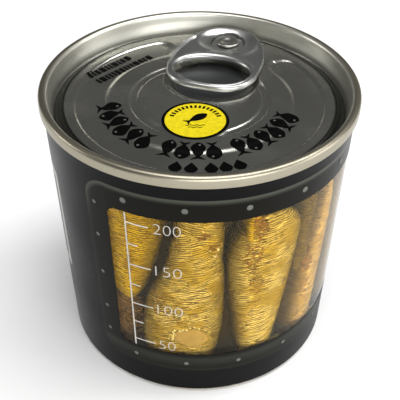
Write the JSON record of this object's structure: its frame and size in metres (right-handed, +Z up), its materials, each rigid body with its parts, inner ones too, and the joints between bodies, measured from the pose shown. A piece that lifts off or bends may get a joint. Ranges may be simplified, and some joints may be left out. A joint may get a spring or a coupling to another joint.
{
  "type": "tin of sprats",
  "caption": "Clear tapered can of smoked sprats in oil, with a black windowed sleeve, a level gauge and a ring-pull metal end.",
  "frame": {"origin": "centre of the base, on the surface that the can stands on", "axes": "+Z up along the can's axis, -Y to the front, where the gauge and the window are seen"},
  "size_m": [0.076, 0.076, 0.071],
  "materials": {
    "clear_plastic": "clear moulded plastic, glossy",
    "black_print": "smooth satin black print",
    "tinplate": "lacquered tinplate, satin, faintly warm",
    "tab_metal": "bright drawn steel",
    "fish_skin": "golden smoked fish skin, wet with oil"
  },
  "bodies": {
    "can": {"can_wall": "clear_plastic", "label": "black_print", "lid": "tinplate", "tab_tongue": "tab_metal", "sprats": "fish_skin"},
    "tab": {"pull_tab": "tab_metal"}
  },
  "joints": [
    {"name": "tab_lift", "type": "hinge", "parent": "can", "child": "tab", "pos_m": [0.00882, 0.0318, 0.06715], "axis": [-0.9636, 0.2672, 0], "range_deg": [0, 80]}
  ]
}
